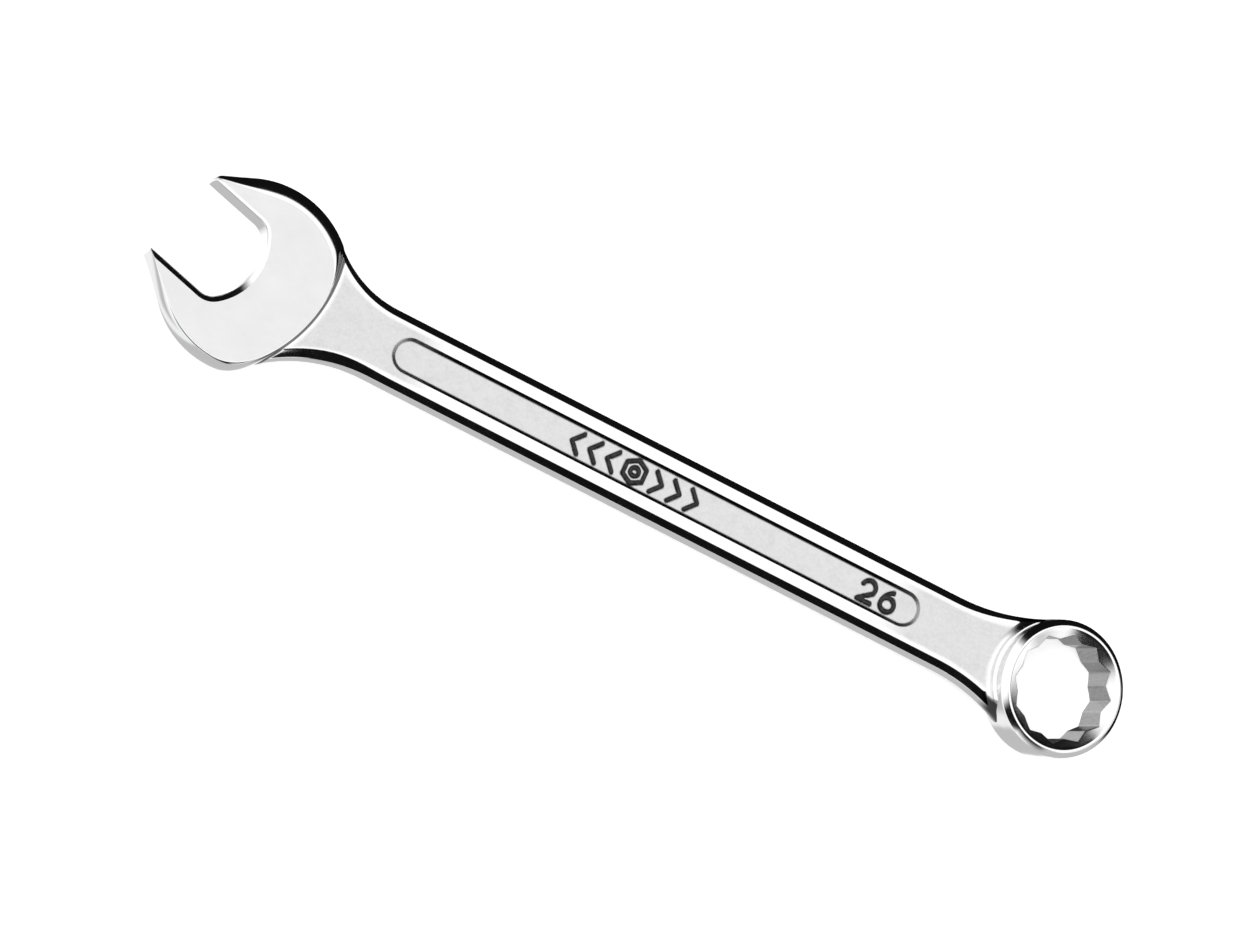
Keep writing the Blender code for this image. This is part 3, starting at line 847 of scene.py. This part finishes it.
class Nodes:
    """A short way to write the node tree of a material or a world."""

    def __init__(self, owner):
        owner.use_nodes = True
        self.tree = owner.node_tree
        self.shader = self.tree.nodes.get("Principled BSDF")

    def add(self, kind, inputs=(), **settings):
        node = self.tree.nodes.new(kind)
        for label, value in settings.items():
            setattr(node, label, value)
        for label, value in dict(inputs).items():
            self.set(node.inputs[label], value)
        return node

    def set(self, socket, value):
        if isinstance(value, bpy.types.NodeSocket):
            self.tree.links.new(value, socket)
        else:
            socket.default_value = value

    def paint(self, colour, roughness, normal):
        """Bare metal: the shader's three drawn inputs, and metallic as a plain value."""
        self.set(self.shader.inputs["Base Color"], colour)
        self.set(self.shader.inputs["Roughness"], roughness)
        self.set(self.shader.inputs["Normal"], normal)
        self.shader.inputs["Metallic"].default_value = 1.0

    def attribute(self, name):
        return self.add("ShaderNodeAttribute", attribute_name=name).outputs["Fac"]

    def noise(self, position, scale, detail, roughness=0.55):
        inputs = {"Vector": position, "Scale": scale, "Detail": detail, "Roughness": roughness}
        return self.add("ShaderNodeTexNoise", inputs).outputs["Fac"]

    def remap(self, value, source, made=(0.0, 1.0), interpolation="LINEAR"):
        """The span source turned into the span made, and held at its ends beyond them."""
        inputs = dict(zip(("From Min", "From Max", "To Min", "To Max"), source + made))
        inputs["Value"] = value
        node = self.add("ShaderNodeMapRange", inputs, interpolation_type=interpolation)
        return node.outputs["Result"]

    def mix(self, factor, a, b):
        """a where factor is 0 and b where it is 1. The node's sockets for plain values are 0, 2 and 3."""
        node = self.add("ShaderNodeMix", data_type="FLOAT")
        for socket, value in zip((node.inputs[0], node.inputs[2], node.inputs[3]), (factor, a, b)):
            self.set(socket, value)
        return node.outputs[0]

    def math(self, operation, a, b):
        node = self.add("ShaderNodeMath", operation=operation)
        self.set(node.inputs[0], a)
        self.set(node.inputs[1], b)
        return node.outputs[0]

    def stretched(self, scale):
        place = self.add("ShaderNodeTexCoord").outputs["Object"]
        return self.add("ShaderNodeMapping", {"Vector": place, "Scale": scale}).outputs["Vector"]

    def grey(self, value):
        channels = {"Red": value, "Green": value, "Blue": value}
        return self.add("ShaderNodeCombineColor", channels).outputs["Color"]

    def bump(self, height, strength, distance):
        inputs = {"Height": height, "Strength": strength, "Distance": distance}
        return self.add("ShaderNodeBump", inputs).outputs["Normal"]


EVEN = (1.0, 1.0, 1.0)
NOISE_SPAN = (0.3, 0.7)
MOTTLE_SPAN = (0.38, 0.62)
MOTTLE_ROUGHNESS_SPAN = (0.35, 0.65)


def head_material():
    """Ground flat faces with a fine straight grain, and polished rounded sides."""
    material = bpy.data.materials.new("ground_and_polished_steel")
    nodes = Nodes(material)
    ground = nodes.attribute("ground")
    grain = nodes.noise(nodes.stretched((250.0, 4000.0, 1.0)), scale=1.0, detail=2.0)
    clouds = nodes.noise(nodes.stretched(EVEN), scale=110.0, detail=4.0)
    clean = nodes.mix(ground, POLISHED, nodes.remap(clouds, NOISE_SPAN, GROUND))
    # Painted shade: the colour is darkened towards black in the corner at the head's back.
    shade = nodes.mix(nodes.attribute("painted_shade"), clean, PAINTED_SHADE)
    side_roughness = nodes.remap(clouds, NOISE_SPAN, POLISHED_ROUGHNESS)
    face_roughness = nodes.remap(grain, NOISE_SPAN, GROUND_ROUGHNESS)
    roughness = nodes.mix(ground, side_roughness, face_roughness)
    normal = nodes.bump(grain, strength=nodes.math("MULTIPLY", ground, 0.12), distance=0.00002)
    nodes.paint(nodes.grey(shade), roughness, normal)
    return material


def shank_material():
    """Mottled satin in the panel and on the flared ends, polished elsewhere, dark in the marks."""
    material = bpy.data.materials.new("mottled_and_polished_steel")
    nodes = Nodes(material)
    satin = nodes.attribute("satin")
    mark_dark_span = tuple(MARK_HALF_WIDTH - inset for inset in MARK_DARK_INSET)
    marked = nodes.remap(nodes.attribute("mark"), mark_dark_span)
    place = nodes.stretched(EVEN)
    speckle = nodes.noise(place, scale=900.0, detail=5.0, roughness=0.65)
    clouds = nodes.noise(place, scale=260.0, detail=5.0, roughness=0.6)
    mottled = nodes.math("ADD", nodes.math("MULTIPLY", speckle, 0.5), nodes.math("MULTIPLY", clouds, 0.5))
    clean = nodes.mix(satin, POLISHED, nodes.remap(mottled, MOTTLE_SPAN, SATIN))
    # Painted shade in the corners, and a painted dark reflection next to the ring, darken the colour here.
    with_painted_shade = nodes.mix(nodes.attribute("painted_shade"), clean, PAINTED_SHADE)
    # Inside the marks the colour is almost black.
    shade = nodes.mix(marked, with_painted_shade, nodes.remap(speckle, NOISE_SPAN, MARK_DARK))
    side_roughness = nodes.remap(clouds, NOISE_SPAN, POLISHED_ROUGHNESS)
    satin_roughness = nodes.remap(mottled, MOTTLE_ROUGHNESS_SPAN, SATIN_ROUGHNESS)
    roughness = nodes.mix(marked, nodes.mix(satin, side_roughness, satin_roughness), MARK_ROUGHNESS)
    strength = nodes.math("MULTIPLY", nodes.math("MAXIMUM", satin, marked), 0.25)
    nodes.paint(nodes.grey(shade), roughness, nodes.bump(mottled, strength, distance=0.0001))
    return material


def ring_material():
    """Polished outside, turned fine rings on the bore's chamfer, and dull broached walls in the bore."""
    material = bpy.data.materials.new("broached_and_polished_steel")
    nodes = Nodes(material)
    broached = nodes.attribute("broached")
    turned = nodes.attribute("turned")
    clouds = nodes.noise(nodes.stretched(EVEN), scale=180.0, detail=4.0)
    streaks = nodes.noise(nodes.stretched((1800.0, 1800.0, 120.0)), scale=1.0, detail=3.0)
    shade = nodes.mix(broached, POLISHED, nodes.remap(streaks, NOISE_SPAN, BROACHED))
    smooth_roughness = nodes.mix(turned, nodes.remap(clouds, NOISE_SPAN, RING_ROUGHNESS), TURNED_ROUGHNESS)
    wall_roughness = nodes.remap(streaks, NOISE_SPAN, BROACHED_ROUGHNESS)
    roughness = nodes.mix(broached, smooth_roughness, wall_roughness)
    strength = nodes.math("ADD", nodes.math("MULTIPLY", broached, 0.3), nodes.math("MULTIPLY", turned, 0.1))
    nodes.paint(nodes.grey(shade), roughness, nodes.bump(streaks, strength, distance=0.00005))
    return material


# ---------------------------------------------------------------- studio


def aimed(obj, position, back, up):
    """Places an object so that its -Z axis looks away from back and its Y axis is as near up as it can be."""
    z = Vector(back).normalized()
    x = Vector(up).cross(z).normalized()
    y = z.cross(x)
    obj.matrix_world = Matrix.Translation(position) @ Matrix((x, y, z)).transposed().to_4x4()


def make_camera():
    """A long lens looking down on the marked face, with the shank running to the lower right."""
    camera = bpy.data.objects.new("camera", bpy.data.cameras.new("camera"))
    bpy.context.scene.collection.objects.link(camera)
    camera.data.sensor_width = CAMERA_SENSOR
    camera.data.lens = CAMERA_LENS
    distance = CAMERA_WIDTH * CAMERA_LENS / CAMERA_SENSOR
    camera.data.clip_end = CAMERA_CLIP
    position = Vector(CAMERA_TARGET) + distance * Vector(CAMERA_BACK).normalized()
    aimed(camera, position, CAMERA_BACK, CAMERA_UP)
    bpy.context.scene.camera = camera


def make_floor():
    """A pale floor that touches the ring's lowest rim and the head's lower face."""
    head_low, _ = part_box("open_end_head")
    ring_low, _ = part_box("box_end_ring")
    contact = RING_CENTRE.x + RING_CONTACT * MM
    mesh = bpy.data.meshes.new("floor")
    signs = ((-1, -1), (1, -1), (1, 1), (-1, 1))
    mesh.from_pydata([(x * FLOOR_HALF, y * FLOOR_HALF, 0.0) for x, y in signs], [], [(0, 1, 2, 3)])
    floor = bpy.data.objects.new("floor", mesh)
    bpy.context.scene.collection.objects.link(floor)
    floor.location = (head_low.x, 0.0, head_low.z)
    floor.rotation_euler.y = math.atan2(head_low.z - ring_low.z, contact - head_low.x)
    floor.visible_glossy = False
    material = bpy.data.materials.new("pale_floor")
    shader = Nodes(material).shader
    shader.inputs["Base Color"].default_value = (FLOOR_SHADE, FLOOR_SHADE, FLOOR_SHADE, 1.0)
    shader.inputs["Roughness"].default_value = FLOOR_ROUGHNESS
    shader.inputs["Specular IOR Level"].default_value = 0.0
    shader.inputs["Emission Color"].default_value = (1.0, 1.0, 1.0, 1.0)
    shader.inputs["Emission Strength"].default_value = FLOOR_GLOW
    mesh.materials.append(material)


def make_light():
    """A wide soft light overhead. It lights the floor, and the steel sees the studio around it instead."""
    light = bpy.data.objects.new("overhead_softbox", bpy.data.lights.new("overhead_softbox", "AREA"))
    bpy.context.scene.collection.objects.link(light)
    light.data.shape = "DISK"
    light.data.size = LIGHT_SIZE
    light.data.energy = LIGHT_POWER
    light.visible_glossy = False
    light.visible_camera = False
    aimed(light, Vector(LIGHT_PLACE), LIGHT_BACK, (0.0, 1.0, 0.0))


def make_world():
    """A bright ceiling, a dimmer lower half, a dark flag on the left and a low dark band on the right."""
    world = bpy.data.worlds.new("studio")
    bpy.context.scene.world = world
    nodes = Nodes(world)
    nodes.tree.nodes.clear()
    place = nodes.add("ShaderNodeTexCoord").outputs["Generated"]
    axes = nodes.add("ShaderNodeSeparateXYZ", {"Vector": place})
    x, y, z = axes.outputs["X"], axes.outputs["Y"], axes.outputs["Z"]

    def within(value, span):
        return nodes.remap(value, span, interpolation="SMOOTHSTEP")

    def plus(value, share, other):
        return nodes.math("ADD", value, nodes.math("MULTIPLY", other, share))

    def both(first, *others):
        for other in others:
            first = nodes.math("MULTIPLY", first, other)
        return first

    def either(a, b):
        return nodes.math("MAXIMUM", a, b)

    low = both(within(z, LOW_Z_SPAN), within(y, LOW_Y_SPAN))
    front_end = either(within(x, FRONT_END_X_SPAN), within(z, FRONT_END_Z_SPAN))
    front = both(within(x, FRONT_X_SPAN), front_end)
    bright = nodes.mix(low, STUDIO_HIGH, nodes.mix(front, STUDIO_LOW, STUDIO_LOW_FRONT))

    towards_flag = plus(nodes.math("MULTIPLY", x, FLAG_DIRECTION[0]), FLAG_DIRECTION[1], y)
    flag_top = within(plus(z, FLAG_TOP_SLOPE, x), FLAG_TOP_SPAN)
    flag_end = either(within(x, FLAG_END_X_SPAN), within(z, FLAG_END_Z_SPAN))
    flag = both(within(towards_flag, FLAG_SPAN), flag_top, flag_end)

    band_foot = within(plus(z, BAND_FOOT_SLOPE, nodes.math("MAXIMUM", x, 0.0)), BAND_FOOT_SPAN)
    band_ends = both(within(x, BAND_RING_END_SPAN), within(x, BAND_HEAD_END_SPAN))
    band_gap = either(within(x, BAND_GAP_X_SPAN), within(z, BAND_GAP_Z_SPAN))
    band = both(within(y, BAND_Y_SPAN), band_foot, within(z, BAND_TOP_SPAN), band_ends, band_gap)

    level = nodes.mix(either(flag, band), bright, STUDIO_DARK)
    seen = nodes.add("ShaderNodeLightPath").outputs["Is Camera Ray"]
    background = nodes.add("ShaderNodeBackground", {"Color": nodes.grey(nodes.mix(seen, level, 1.0))})
    output = nodes.add("ShaderNodeOutputWorld")
    nodes.set(output.inputs["Surface"], background.outputs["Background"])


# ---------------------------------------------------------------- the scene


def main():
    bpy.context.scene.view_settings.view_transform = "Standard"
    pieces = {
        "open_end_head": (make_head(head_material()), "head_steel"),
        "shank": (make_shank(shank_material()), "shank_steel"),
        "box_end_ring": (make_ring(ring_material()), "ring_steel"),
    }
    for node, (piece, slot) in pieces.items():
        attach(piece, "root")
        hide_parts(node)
    make_camera()
    make_floor()
    make_light()
    make_world()


main()
